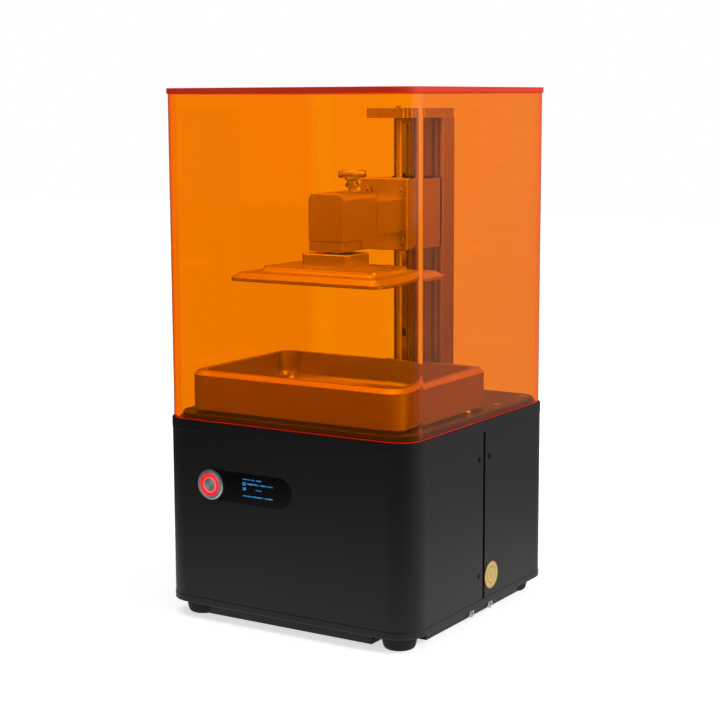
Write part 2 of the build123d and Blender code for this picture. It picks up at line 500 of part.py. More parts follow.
def make_column():
    w, d = COLUMN_W, COLUMN_D
    column = span(-w / 2, w / 2, COLUMN_FRONT, COLUMN_BACK, Z_DECK, COLUMN_TOP)
    column = fillet(column.edges().filter_by(Axis.Z), 0.8)
    column -= span(-RAIL_W / 2, RAIL_W / 2, COLUMN_FRONT - 1, COLUMN_FRONT + RAIL_SEAT, Z_DECK, COLUMN_TOP)
    for place, width, depth in GROOVES:
        for side in (-1, 1):
            column -= span(side * place, side * (place + width), COLUMN_FRONT - 1, COLUMN_FRONT + depth,
                           Z_DECK, COLUMN_TOP)
    for side in (-1, 1):
        column -= rod(CORE_R, COLUMN_H, side * CORE_X, COLUMN_BACK - 6.5, Z_DECK)
    save("column", column)


def rail_hole_heights():
    length = COLUMN_H - 2 * RAIL_END
    count = int(length // RAIL_PITCH)
    start = Z_DECK + COLUMN_H / 2 - (count - 1) * RAIL_PITCH / 2
    return [start + i * RAIL_PITCH for i in range(count)]


def make_rail():
    low, high = Z_DECK + RAIL_END, COLUMN_TOP - RAIL_END
    back = COLUMN_FRONT + RAIL_SEAT
    rail = span(-RAIL_W / 2, RAIL_W / 2, back - RAIL_H, back, low, high)
    rail = chamfer(rail.edges().filter_by(Axis.Z).sort_by(Axis.Y)[:2], 0.6)
    for side in (-1, 1):
        rail -= Pos(side * RAIL_W / 2, back - RAIL_H * 0.55, low) * Rot(0, 0, 45) * \
            Box(2.0, 2.0, 3 * COLUMN_H)
    screws = []
    for z in rail_hole_heights():
        rail -= rod_y(3.2, 4.0, 0, back - RAIL_H, z) + rod_y(1.6, RAIL_H, 0, back - RAIL_H, z)
        screws.append(Pos(0, back - RAIL_H + 3.9, z) * Rot(90, 0, 0) * cap_screw(2.9, 3.0, 1.6, 6.0, 2.5))
    save("linear_rail", rail)
    save("rail_screws", group(screws))


def make_screw():
    low = Z_RIM - 12.0
    screw = rod(SCREW_R, COLUMN_TOP + TOP_T + SCREW_PROUD - low, 0, SCREW_Y, low)
    save("lead_screw", chamfer(screw.edges().group_by(Axis.Z)[-1], 0.6))
    base = Z_RIM - 25.0
    coupler = rod(COUPLER_R, COUPLER_H, 0, SCREW_Y, base) - rod(SCREW_R, COUPLER_H, 0, SCREW_Y, low)
    coupler += rod(2.5, 22.0, 0, SCREW_Y, base - 21.0)
    save("shaft_coupler", coupler)


def make_top_plate():
    wide_front = COLUMN_FRONT - TOP_AHEAD
    wide = Pos(0, (wide_front + COLUMN_BACK) / 2) * Rectangle(COLUMN_W, COLUMN_BACK - wide_front)
    tongue_front = SCREW_Y - TONGUE_AHEAD
    tongue = Pos(0, (tongue_front + wide_front + 5) / 2) * Rectangle(TONGUE_W, wide_front + 5 - tongue_front)
    plate = Pos(0, 0, COLUMN_TOP) * extrude(wide + tongue, amount=TOP_T)
    plate = fillet(plate.edges().filter_by(Axis.Z), 2.6)
    plate -= rod(BEARING_R, BEARING_T, 0, SCREW_Y, COLUMN_TOP + 1.0)
    plate -= rod(SCREW_R + 1.5, TOP_T * 3, 0, SCREW_Y, COLUMN_TOP - TOP_T)
    screws = []
    for side in (-1, 1):
        place = Pos(side * CORE_X, COLUMN_BACK - 6.5, COLUMN_TOP + TOP_T)
        plate -= place * sink_hole(FLAT_HEAD_R, CORE_R, TOP_T * 2)
        screws.append(place * flat_screw(FLAT_HEAD_R, CORE_R, TOP_T + 12.0, 2.5))
    save("top_plate", plate)
    save("top_plate_screws", group(screws))
    bearing = rod(BEARING_R, BEARING_T, 0, SCREW_Y, COLUMN_TOP + 1.0)
    save("top_bearing", bearing - rod(SCREW_R + 0.05, TOP_T, 0, SCREW_Y, COLUMN_TOP))


# ---------------------------------------------------------------- carriage, bracket and arm
NUT_WALL, NUT_FLANGE, NUT_FLANGE_T, NUT_H = 1.1, 3.2, 3.5, 15.0
NUT_R, NUT_FLANGE_R = SCREW_R + NUT_WALL, SCREW_R + NUT_FLANGE


def make_carriage():
    back = COLUMN_FRONT + RAIL_SEAT
    front = back - RAIL_H - BLOCK_RISE
    z0, z1 = SADDLE_Z - BLOCK_PROUD, SADDLE_Z + SADDLE_H + BLOCK_PROUD
    blank = span(-BLOCK_W / 2, BLOCK_W / 2, front, COLUMN_FRONT - SADDLE_BACK_GAP, z0, z1)
    channel = span(-RAIL_W / 2 - RAIL_FIT, RAIL_W / 2 + RAIL_FIT, back - RAIL_H - RAIL_FIT, COLUMN_BACK, z0 - 1, z1 + 1)
    block = blank - channel
    steel = block & span(-BLOCK_W, BLOCK_W, 0, COLUMN_BACK, z0 + BLOCK_CAP, z1 - BLOCK_CAP)
    save("rail_carriage", steel)
    caps = [block & span(-BLOCK_W, BLOCK_W, 0, COLUMN_BACK, z0, z0 + BLOCK_CAP),
            block & span(-BLOCK_W, BLOCK_W, 0, COLUMN_BACK, z1 - BLOCK_CAP, z1)]
    save("carriage_end_caps", group(caps))

    w = SADDLE_W / 2
    saddle = span(-w, w, SADDLE_FRONT, COLUMN_FRONT - SADDLE_BACK_GAP, SADDLE_Z, SADDLE_Z + SADDLE_H)
    saddle = fillet(saddle.edges().filter_by(Axis.Z), 1.0)
    saddle -= span(-BLOCK_W / 2 - 0.1, BLOCK_W / 2 + 0.1, front, COLUMN_BACK, SADDLE_Z - 1, SADDLE_Z + SADDLE_H + 1)
    saddle -= rod(NUT_R, SADDLE_H * 2, 0, SCREW_Y, SADDLE_Z - 1)
    saddle -= Pos(0, SCREW_Y, SADDLE_Z) * Cylinder(NUT_FLANGE_R + 0.1, NUT_FLANGE_T * 2)
    for x in (-BOLT_X / 2, BOLT_X / 2):
        for z in bolt_heights():
            saddle -= rod_y(2.0, 9.0, x, SADDLE_FRONT - 1, z)
    save("saddle", saddle)
    nut = rod(NUT_R, NUT_H, 0, SCREW_Y, SADDLE_Z) + rod(NUT_FLANGE_R, NUT_FLANGE_T, 0, SCREW_Y, SADDLE_Z)
    save("lead_nut", nut - rod(SCREW_R + 0.08, NUT_H * 3, 0, SCREW_Y, SADDLE_Z - NUT_H))


def bolt_heights():
    middle = BRACKET_Z + BRACKET_H / 2 - 1.3
    return (middle - BOLT_Z / 2, middle + BOLT_Z / 2)


def make_bracket():
    w = SADDLE_W / 2
    bracket = span(-w, w, BRACKET_FRONT, SADDLE_FRONT, BRACKET_Z, BRACKET_Z + BRACKET_H)
    bracket = fillet(bracket.edges().filter_by(Axis.Z).sort_by(Axis.Y)[:2], 1.8)
    bracket = fillet(bracket.edges().filter_by(Axis.X).sort_by(Axis.Y)[:2], 1.0)
    screws = []
    for x in (-BOLT_X / 2, BOLT_X / 2):
        for z in bolt_heights():
            bracket -= rod_y(4.1, 3.0, x, BRACKET_FRONT - 0.2, z) + rod_y(2.0, BRACKET_T + 1, x, BRACKET_FRONT, z)
            place = Pos(x, BRACKET_FRONT + 2.8, z) * Rot(90, 0, 0)
            screws.append(place * cap_screw(3.5, 4.0, 2.0, BRACKET_T + 4.0, 3.0))
    save("arm_bracket", bracket)
    save("bracket_screws", group(screws))


def make_arm():
    w, front = ARM_W / 2, HEAD_BACK + PULL_GAP
    arm = span(-w, w, front, BRACKET_FRONT, ARM_Z, ARM_Z + ARM_H)
    for x in (-BOLT_X / 2, BOLT_X / 2):
        for z in bolt_heights():
            arm -= rod_y(4.6, 10.0, x, BRACKET_FRONT - 6.0, z)
    pin_w, mid = TONGUE_PIN_W / 2, ARM_Z + ARM_H / 2
    arm += span(-pin_w, pin_w, front - TONGUE_LEN, front, mid - TONGUE_PIN_H / 2, mid + TONGUE_PIN_H / 2)
    save("arm", arm)


# ---------------------------------------------------------------- head, clamp, ball and knob
SOCKET_FIT, CLAMP_SPLIT = 0.3, 0.4
KNOB_Y = HEAD_BACK - KNOB_BACK


def make_head():
    w = HEAD_W / 2
    head = span(-w, w, HEAD_FRONT, HEAD_BACK, HEAD_Z, HEAD_Z + HEAD_H)
    top_long = head.edges().filter_by(Axis.Y).sort_by(Axis.Z)[-2:]
    head = fillet(top_long, HEAD_R)
    head = chamfer(head.edges().filter_by(Axis.Z), 0.4)
    split = span(-HEAD_W, HEAD_W, HEAD_FRONT - 1, HEAD_FRONT + CLAMP_D, HEAD_Z - 1, BALL_Z)
    ball_room = Pos(0, BALL_Y, BALL_Z) * Sphere(BALL_R + BALL_FIT)
    pin_w, mid = TONGUE_PIN_W / 2 + SOCKET_FIT, ARM_Z + ARM_H / 2
    pin_h = TONGUE_PIN_H / 2 + SOCKET_FIT
    socket = span(-pin_w, pin_w, HEAD_BACK - TONGUE_LEN - 0.5, HEAD_BACK + 1, mid - pin_h, mid + pin_h)
    stem = rod(KNOB_STEM_R + 0.08, HEAD_H, 0, KNOB_Y, mid)
    save("head_block", head - split - ball_room - socket - stem)
    clamp = span(-w, w, HEAD_FRONT, HEAD_FRONT + CLAMP_D - CLAMP_SPLIT, HEAD_Z, BALL_Z - CLAMP_SPLIT)
    clamp = chamfer(clamp.edges().filter_by(Axis.Z), 1.2)
    clamp -= ball_room + rod(5.5, CLAMP_H * 3, 0, BALL_Y, HEAD_Z - CLAMP_H)
    save("ball_clamp", clamp)


def make_knob():
    base = HEAD_Z + HEAD_H + KNOB_RISE
    grip = rod(KNOB_R, KNOB_H, 0, 0, KNOB_NECK_H)
    for i in range(30):
        grip -= Rot(0, 0, i * 12) * rod(0.45, KNOB_H * 2, KNOB_R, 0, KNOB_NECK_H - 1)
    neck = rod(KNOB_NECK_R, KNOB_NECK_H, 0, 0, 0)
    tip = ARM_Z + ARM_H / 2 + TONGUE_PIN_H / 2 + 0.1
    stem = rod(KNOB_STEM_R, base - tip + 1, 0, 0, tip - base)
    save("knob", Pos(0, KNOB_Y, base) * (grip + neck + stem))


def make_ball():
    centre = Pos(0, BALL_Y, BALL_Z)
    save("ball", centre * Sphere(BALL_R))
    stud_low = NECK_Z + NECK_H - 7.0
    stud = rod(STUD_R, BALL_Z - stud_low, 0, BALL_Y, stud_low) - centre * Sphere(BALL_R + 0.08)
    save("ball_stud", stud)


def make_platform():
    neck = span(-NECK_W / 2, NECK_W / 2, BALL_Y - NECK_D / 2, BALL_Y + NECK_D / 2, NECK_Z, NECK_Z + NECK_H)
    neck = chamfer(neck.edges().filter_by(Axis.Z), NECK_CUT)
    neck = chamfer(neck.edges().group_by(Axis.Z)[-1], 0.6)
    neck -= rod(STUD_R, 20.0, 0, BALL_Y, NECK_Z + NECK_H - 7.0)
    screws, places = [], [(sx * 14.5, BALL_Y + sy * 9.5) for sx in (-1, 1) for sy in (-1, 1)]
    for x, y in places:
        neck -= rod(2.9, 3.0, x, y, NECK_Z + NECK_H - 2.6) + rod(1.5, NECK_H * 3, x, y, NECK_Z - NECK_H)
        screws.append(Pos(x, y, NECK_Z + NECK_H - 2.6) * cap_screw(2.75, 2.5, 1.5, NECK_H + 1.0, 2.5))
    save("neck_block", neck)
    save("neck_screws", group(screws))

    edge = slab(PLATE_W, PLATE_D, PLATE_EDGE, PLATE_Z, PLATE_R, 0, BALL_Y)
    edge = fillet(edge.edges().group_by(Axis.Z)[0], 0.5)
    inner = 2 * PLATE_BEVEL
    low = Pos(0, BALL_Y, PLATE_Z + PLATE_EDGE) * RectangleRounded(PLATE_W, PLATE_D, PLATE_R)
    ledge_z = PLATE_Z + PLATE_EDGE + PLATE_BEVEL_H
    high = Pos(0, BALL_Y, ledge_z) * RectangleRounded(PLATE_W - inner, PLATE_D - inner, PLATE_R - 4.5)
    plate = edge + loft([low, high])
    rise = NECK_Z - ledge_z
    plate += slab(PLATE_TOP_W, PLATE_TOP_D, rise, ledge_z, PLATE_TOP_R, 0, BALL_Y)
    foot_of_hub = [e for e in plate.edges().filter_by_position(Axis.Z, ledge_z - 0.01, ledge_z + 0.01)
                   if abs(e.center().X) < PLATE_TOP_W / 2 + 0.1 and abs(e.center().Y - BALL_Y) < PLATE_TOP_D / 2 + 0.1]
    plate = fillet(foot_of_hub, PLATE_COVE)
    for x, y in places:
        plate -= rod(1.5, 12.0, x, y, NECK_Z + NECK_H - 2.6 - NECK_H - 1.0)
    save("build_plate", plate)


# ---------------------------------------------------------------- vat
def make_vat():
    z = Z_DECK + SEAT_GAP
    body_z, top = z + VAT_LIP_H, z + VAT_LIP_H + VAT_H
    body = slab(VAT_W, VAT_D, VAT_H, body_z, VAT_R, 0, LIGHT_Y)
    body = chamfer(body.edges().group_by(Axis.Z)[-1], VAT_CHAMFER)
    body = fillet(body.edges().group_by(Axis.Z)[0], 0.6)
    in_w, in_d = VAT_W - 2 * VAT_RIM, VAT_D - 2 * VAT_RIM
    floor = body_z + VAT_FLOOR_T
    cavity = slab(in_w, in_d, VAT_H, floor, VAT_IN_R, 0, LIGHT_Y)
    cavity = fillet(cavity.edges().group_by(Axis.Z)[0], VAT_COVE)
    body -= cavity
    corner_x, corner_y = -in_w / 2 + POUR_R - POUR_OUT, LIGHT_Y + in_d / 2 - POUR_R + POUR_OUT
    pour = Pos(corner_x, corner_y, floor + POUR_R) * Sphere(POUR_R) + rod(POUR_R, VAT_H, corner_x, corner_y, floor + POUR_R)
    body -= pour
    body -= slab(FILM_OPEN_W, FILM_OPEN_D, VAT_H, body_z - 1, FILM_OPEN_R, 0, LIGHT_Y)
    save("vat_body", body)
    lip_w, lip_d = VAT_W - 2 * VAT_LIP_IN, VAT_D - 2 * VAT_LIP_IN
    clamp = slab(lip_w, lip_d, VAT_LIP_H - FILM_T, z + FILM_T, VAT_R - 4, 0, LIGHT_Y)
    clamp -= slab(FILM_OPEN_W, FILM_OPEN_D, VAT_H, z - 1, FILM_OPEN_R, 0, LIGHT_Y)
    save("film_clamp", clamp)
    save("vat_film", slab(FILM_W, FILM_D, FILM_T, z, 6.0, 0, LIGHT_Y))


# ---------------------------------------------------------------- cover
def make_cover():
    z = Z_COVER + COVER_LIFT_GAP
    outer = slab(COVER_W, COVER_D, COVER_H, z, BODY_R - COVER_IN)
    inner = slab(ROOM_W, ROOM_D, COVER_H, z, BODY_R - COVER_IN - COVER_T)
    save("cover_walls", outer - inner)
    lid = slab(COVER_W + 2 * LID_LAP, COVER_D + 2 * LID_LAP, LID_T, z + COVER_H, LID_R)
    save("cover_lid", fillet(lid.edges().group_by(Axis.Z)[-1] + lid.edges().group_by(Axis.Z)[0], 0.3))


make_feet()
make_tray()
make_base_screws()
make_bottom_plate()
make_shells()
make_pillars()
make_seal()
make_ports()
make_display()
make_button()
make_rim_plate()
make_deck()
make_light()
make_fan()
make_spacers()
make_electronics()
make_motor()
make_column()
make_rail()
make_screw()
make_top_plate()
make_carriage()
make_bracket()
make_arm()
make_head()
make_knob()
make_ball()
make_platform()
make_vat()
make_cover()
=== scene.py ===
# %% [markdown]
# # A desktop resin printer
# The mechanical model arrives as a fixed frame: every plate, screw and moving block is already in
# place, in metres, with +Z up and the front facing -Y. This lesson gives that frame its finishes,
# and adds the pieces whose looks need more than the mechanical model holds: polished acrylic, a
# screw thread, a knurled knob and the picture on the small display.

# %% Load the frame
import bpy
import bmesh
import math
from mathutils import Matrix, Vector


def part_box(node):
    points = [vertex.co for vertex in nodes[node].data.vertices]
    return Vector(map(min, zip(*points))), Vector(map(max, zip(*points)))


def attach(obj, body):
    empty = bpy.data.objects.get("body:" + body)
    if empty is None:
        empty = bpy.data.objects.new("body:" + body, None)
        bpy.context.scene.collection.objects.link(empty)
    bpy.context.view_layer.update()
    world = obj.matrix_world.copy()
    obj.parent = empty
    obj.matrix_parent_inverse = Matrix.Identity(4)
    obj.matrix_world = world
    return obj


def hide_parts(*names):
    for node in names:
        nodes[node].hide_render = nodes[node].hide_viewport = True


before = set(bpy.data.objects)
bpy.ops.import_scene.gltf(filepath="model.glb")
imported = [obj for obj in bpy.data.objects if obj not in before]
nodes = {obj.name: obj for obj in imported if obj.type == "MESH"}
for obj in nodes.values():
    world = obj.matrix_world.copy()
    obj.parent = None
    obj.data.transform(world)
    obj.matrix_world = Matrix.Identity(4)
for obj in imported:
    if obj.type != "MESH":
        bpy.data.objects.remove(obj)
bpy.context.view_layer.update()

# %% [markdown]
# ## Colours and shader nodes
# Colours are picked as sRGB hex, the way a paint chart gives them, but shaders work in
# linear light, so one function converts. The others add shader nodes with their settings and
# links, so that each material below reads as a short recipe.

# %% Helpers for colours and nodes
MM = 0.001


def linear(hex_colour):
    """An sRGB hex colour as the linear RGBA that a shader expects."""
    channels = [int(hex_colour[i:i + 2], 16) / 255 for i in (1, 3, 5)]
    light = [c / 12.92 if c <= 0.04045 else ((c + 0.055) / 1.055) ** 2.4 for c in channels]
    return (*light, 1.0)


def add(tree, kind, settings=None, **links):
    """Adds a node. Settings are its own properties; a link gives a socket its value or source.

    A socket is called by its name, with _ for a space, or by its number, as in _0.
    """
    made = tree.nodes.new(kind)
    for key, value in (settings or {}).items():
        setattr(made, key, value)
    for key, value in links.items():
        numbered = key[0] == "_"
        socket = made.inputs[int(key[1:])] if numbered else made.inputs[key.replace("_", " ")]
        if isinstance(value, bpy.types.NodeSocket):
            tree.links.new(value, socket)
        else:
            socket.default_value = value
    return made


def maths(tree, operation, *values):
    """One step of arithmetic, or a comparison that gives 1 or 0."""
    links = {f"_{i}": value for i, value in enumerate(values)}
    return add(tree, "ShaderNodeMath", {"operation": operation}, **links).outputs[0]


def vector_maths(tree, operation, *values):
    """One step of arithmetic on places or directions; a length or a dot product is a number."""
    links = {f"_{i}": value for i, value in enumerate(values)}
    made = add(tree, "ShaderNodeVectorMath", {"operation": operation}, **links)
    return made.outputs["Value" if operation in ("LENGTH", "DOT_PRODUCT") else "Vector"]


def spread(tree, value, start=(0.0, 1.0), end=(0.0, 1.0), smooth=False):
    """A number carried from one range to another and held at its ends, straight or smoothly."""
    way = {"interpolation_type": "SMOOTHSTEP" if smooth else "LINEAR"}
    return add(tree, "ShaderNodeMapRange", way, Value=value, From_Min=start[0],
               From_Max=start[1], To_Min=end[0], To_Max=end[1]).outputs[0]


def ramp(tree, source, stops):
    """A colour ramp from a 0 to 1 value; stops are (place, hex colour)."""
    made = add(tree, "ShaderNodeValToRGB", Fac=source)
    elements = made.color_ramp.elements
    while len(elements) < len(stops):
        elements.new(0.5)
    for element, (place, colour) in zip(elements, stops):
        element.position, element.color = place, linear(colour)
    return made.outputs["Color"]


def surface(name, **sockets):
    """A new material with one Principled shader. Returns the material, its tree and the shader."""
    material = bpy.data.materials.new(name)
    material.use_nodes = True
    tree = material.node_tree
    shader = tree.nodes["Principled BSDF"]
    for key, value in sockets.items():
        shader.inputs[key.replace("_", " ")].default_value = value
    return material, tree, shader


def object_place(tree):
    """Coordinates fixed to the model, in metres."""
    return add(tree, "ShaderNodeTexCoord").outputs["Object"]


def scaled_place(tree, scale):
    """Coordinates fixed to the model, in metres times a scale for each axis."""
    return add(tree, "ShaderNodeMapping", Vector=object_place(tree), Scale=scale).outputs["Vector"]


def bump(tree, shader, height, depth, strength):
    """Feeds a height pattern of a real depth in metres to the shader's normal."""
    made = add(tree, "ShaderNodeBump", Strength=strength, Distance=depth, Height=height)
    tree.links.new(made.outputs["Normal"], shader.inputs["Normal"])


def noise(tree, size, detail, roughness=0.5, scale=(1, 1, 1)):
    """Noise whose lumps are about size metres across, optionally stretched by scale."""
    where = scaled_place(tree, tuple(s / size for s in scale))
    return add(tree, "ShaderNodeTexNoise", Vector=where, Scale=1.0, Detail=detail,
               Roughness=roughness).outputs["Fac"]


def vary_roughness(tree, shader, pattern, low, high):
    """Lets the roughness follow a 0 to 1 pattern between two values."""
    tree.links.new(spread(tree, pattern, end=(low, high)), shader.inputs["Roughness"])


print("helpers ready")

# %% [markdown]
# ## Camera
# The camera stands to the right of the front, a little above the middle of the cover, and looks
# slightly down through a long lens, so that the upright edges stay nearly parallel.

# %% Camera
CAMERA_PLACE = (0.66388, -1.05865, 0.37421)
CAMERA_AZIMUTH, CAMERA_PITCH, CAMERA_ROLL = 32.09, 8.70, -0.216
LENS = 85.22


def camera_axes(azimuth, pitch, roll):
    """Right, up and back directions for a heading, a downward pitch and a roll, all in degrees."""
    a, e, r = (math.radians(x) for x in (azimuth, pitch, roll))
    back = Vector((math.sin(a) * math.cos(e), -math.cos(a) * math.cos(e), math.sin(e)))
    right = Vector((math.cos(a), math.sin(a), 0))
    up = back.cross(right)
    turned_right = math.cos(r) * right + math.sin(r) * up
    turned_up = math.cos(r) * up - math.sin(r) * right
    return turned_right, turned_up, back


camera_data = bpy.data.cameras.new("camera")
camera_data.lens = LENS
camera = bpy.data.objects.new("camera", camera_data)
bpy.context.scene.collection.objects.link(camera)
columns = camera_axes(CAMERA_AZIMUTH, CAMERA_PITCH, CAMERA_ROLL)
turn = Matrix(columns).transposed().to_4x4()
camera.matrix_world = Matrix.Translation(CAMERA_PLACE) @ turn
bpy.context.scene.camera = camera
bpy.context.scene.view_settings.view_transform = "Standard"
print("camera at", CAMERA_PLACE)

# %% [markdown]
# ## Where a ray has been
# Straight to the eye, the room is plain white. What lights the object is a studio: bright on one
# side, dim on the others. A ray's own history tells the two apart.
#
# - A ray that has met no metal or paint is seen directly, also through the clear cover, and also
#   when it has run along inside the cover's wall.
# - A ray that has passed more than the two faces of one wall has gone in and out again: it has lit
#   something indoors, or shows what is mirrored there.
#
# A ray's history is counted in whole steps, so each limit lies halfway between two counts.
#
# Behind the object stands a far window. Its soft light is the same above and below the horizon, so
# polished walls mirror no edge between the room and the floor.

# %% Helpers for light
ROOM_WHITE = 1.0
WALL_FACES = 2
HALF_STEP = 0.5
WINDOW_SIDE, WINDOW_SPAN, WINDOW_LEVEL = (0.53, 0.85, 0.0), (0.1, 0.9), 0.25
WHITE = (1, 1, 1, 1)


def came_through(tree, faces):
    """1 for rays that have passed through more than a number of clear faces, else 0."""
    passed = add(tree, "ShaderNodeLightPath").outputs["Transmission Depth"]
    return maths(tree, "GREATER_THAN", passed, faces + HALF_STEP)


def seen_directly(tree):
    """1 for rays that reach the eye straight, through clear pieces or along a wall, else 0."""
    path = add(tree, "ShaderNodeLightPath").outputs
    bounced = maths(tree, "ADD", path["Diffuse Depth"], path["Glossy Depth"])
    straight = maths(tree, "LESS_THAN", bounced, HALF_STEP)
    entered = came_through(tree, 0)
    not_left = maths(tree, "LESS_THAN", path["Transmission Depth"], WALL_FACES + HALF_STEP)
    along_wall = maths(tree, "MULTIPLY", entered, not_left)
    return maths(tree, "MAXIMUM", straight, along_wall)


def pick(tree, factor, when_0, when_1):
    """One of two numbers, by a factor."""
    mixed = add(tree, "ShaderNodeMix", {"data_type": "FLOAT"}, _0=factor, _2=when_0, _3=when_1)
    return mixed.outputs[0]


def tinted(tree, factor, tint):
    """White where the factor is 0, and a tint where it is 1."""
    return add(tree, "ShaderNodeMix", {"data_type": "RGBA"}, _0=factor, _6=WHITE,
               _7=tint).outputs[2]


def glow_towards(tree, direction, side, span, levels):
    """A soft patch of light round one side of the room."""
    facing = vector_maths(tree, "DOT_PRODUCT", direction, side)
    return spread(tree, facing, span, levels, smooth=True)


def window_light(tree, direction):
    """The soft light of a far window: full straight towards it, gone beside it."""
    return glow_towards(tree, direction, WINDOW_SIDE, WINDOW_SPAN, (0.0, WINDOW_LEVEL))


print("light helpers ready")

# %% [markdown]
# ## The room
# Outdoors, which is outside the cover, a large bright side to the right, behind and above gives the
# base its sheen, and a dim front keeps the black shell dark. Indoors, the light is broader and
# comes from above, a little warmer, because it has crossed the amber cover.

# %% Light from the room
DIM, BRIGHT = 0.04, 1.1
BRIGHT_SIDE, BRIGHT_SPAN = (0.83, 0.33, 0.45), (0.66, 0.98)
INDOORS_DIM, INDOORS_BRIGHT = 0.6, 1.42
INDOORS_SIDE, INDOORS_SPAN = (0.30, -0.12, 0.95), (-0.3, 0.85)
INDOORS_TINT = (1.0, 0.84, 0.84, 1.0)

world = bpy.data.worlds.new("studio")
bpy.context.scene.world = world
world.use_nodes = True
tree = world.node_tree
background = tree.nodes["Background"]
direction = add(tree, "ShaderNodeTexCoord").outputs["Generated"]
softly = glow_towards(tree, direction, BRIGHT_SIDE, BRIGHT_SPAN, (DIM, BRIGHT))
outdoors = maths(tree, "MAXIMUM", softly, window_light(tree, direction))
indoors = glow_towards(tree, direction, INDOORS_SIDE, INDOORS_SPAN, (INDOORS_DIM, INDOORS_BRIGHT))
lighting = pick(tree, came_through(tree, WALL_FACES), outdoors, indoors)
level = pick(tree, seen_directly(tree), lighting, ROOM_WHITE)
tree.links.new(level, background.inputs["Strength"])
indirect = maths(tree, "SUBTRACT", 1.0, seen_directly(tree))
warm = maths(tree, "MULTIPLY", indirect, came_through(tree, WALL_FACES))
tree.links.new(tinted(tree, warm, INDOORS_TINT), background.inputs["Color"])
print("room levels", DIM, "to", BRIGHT)

# %% [markdown]
# ## The floor
# Straight to the eye the floor is white paper that keeps a soft shadow and grows brighter with
# distance, until it meets the room without a line; through the cover it is plain white. As a light,
# it is a small table: bright round the foot of the object and dark beyond.

# %% Floor
FLOOR_SIZE = 8.0
PAPER_SPAN, PAPER_LEVELS = (0.25, 1.1), (0.64, 1.0)
TABLE_SPAN, TABLE_LEVELS = (0.16, 0.6), (0.62, 0.015)
INDOORS_FLOOR, FLOOR_TINT = 0.17, (1.0, 0.35, 0.35, 1.0)

half = FLOOR_SIZE / 2
corners = [(-half, -half, 0), (half, -half, 0), (half, half, 0), (-half, half, 0)]
floor_mesh = bpy.data.meshes.new("floor")
floor_mesh.from_pydata(corners, [], [(0, 1, 2, 3)])
floor = bpy.data.objects.new("floor", floor_mesh)
bpy.context.scene.collection.objects.link(floor)

floor_paper, tree, shader = surface("white_paper_sweep", Base_Color=linear("#e6e6e6"),
                                    Roughness=0.9, Emission_Color=linear("#ffffff"))
where = object_place(tree)
away = vector_maths(tree, "LENGTH", where)
brighter = spread(tree, away, PAPER_SPAN, PAPER_LEVELS, smooth=True)
tree.links.new(brighter, shader.inputs["Emission Strength"])
table = spread(tree, away, TABLE_SPAN, TABLE_LEVELS, smooth=True)
bearing = vector_maths(tree, "NORMALIZE", where)
floor_level = maths(tree, "MAXIMUM", table, window_light(tree, bearing))
lit_level = pick(tree, came_through(tree, WALL_FACES), floor_level, INDOORS_FLOOR)
lit_colour = tinted(tree, came_through(tree, WALL_FACES), FLOOR_TINT)
lit_table = add(tree, "ShaderNodeEmission", Strength=lit_level, Color=lit_colour)
plain = add(tree, "ShaderNodeEmission", Strength=ROOM_WHITE)
seen = add(tree, "ShaderNodeMixShader", _0=came_through(tree, 0), _1=shader.outputs[0],
           _2=plain.outputs[0])
both = add(tree, "ShaderNodeMixShader", _0=seen_directly(tree), _1=lit_table.outputs[0],
           _2=seen.outputs[0])
tree.links.new(both.outputs[0], tree.nodes["Material Output"].inputs["Surface"])
floor_mesh.materials.append(floor_paper)
print("floor", FLOOR_SIZE, "m wide")

# %% [markdown]
# ## Lamps
# Three soft boxes shape the object: a key from the right, a fill from above and a weak one from the
# front left. They are hidden from mirror-like reflections, so the black front shows no squares.

# %% Soft boxes
LAMP_TARGET = Vector((0, 0, 0.2))


def softbox(name, at, size, power):
    """A rectangular soft light at a place, facing the middle of the object."""
    data = bpy.data.lights.new(name, "AREA")
    data.shape, data.size, data.size_y, data.energy = "RECTANGLE", size[0], size[1], power
    lamp = bpy.data.objects.new(name, data)
    bpy.context.scene.collection.objects.link(lamp)
    lamp.location = at
    lamp.visible_glossy = False
    lamp.rotation_euler = (LAMP_TARGET - Vector(at)).to_track_quat("-Z", "Y").to_euler()


softbox("key_right", at=(1.9, 0.35, 0.95), size=(1.6, 1.2), power=26)
softbox("top_fill", at=(-0.3, -0.4, 2.2), size=(1.6, 1.6), power=22)
softbox("front_left_fill", at=(-1.6, -1.9, 0.9), size=(0.9, 0.9), power=7)
print("studio ready")

# %% [markdown]
# ## Powder coat
# The base is sheet metal and plate with black powder coat: plastic dust baked to a film. It is
# matte to satin, and its fine orange-peel grain, about a millimetre across, breaks up the
# reflections.

# %% Powder-coated steel
COAT_GRAIN, COAT_DEPTH, COAT_PATCHES = 0.9 * MM, 0.05 * MM, 60 * MM
PLASTIC_IOR = 1.5


def powder_coat(name, colour, roughness):
    """Black plastic film with orange peel, a little shinier in patches."""
    material, tree, shader = surface(name, Base_Color=linear(colour), Roughness=roughness,
                                     IOR=PLASTIC_IOR)
    bump(tree, shader, noise(tree, COAT_GRAIN, detail=2.0), COAT_DEPTH, strength=0.55)
    patches = noise(tree, COAT_PATCHES, detail=2.0)
    vary_roughness(tree, shader, patches, roughness - 0.04, roughness + 0.05)
    return material


powder_black = powder_coat("powder_coated_steel", "#131112", 0.42)
powder_deck = powder_coat("powder_coated_deck", "#161212", 0.36)
print("powder coats made")

# %% [markdown]
# ## Aluminium
# The vat, arm and build plate are machined from solid, bead-blasted and clear anodised, which turns
# the metal soft and satin: no tool marks, only a very fine grain. The bracket and neck are finely
# milled and a little brighter. The column is an extrusion, with long faint lines drawn by the die.

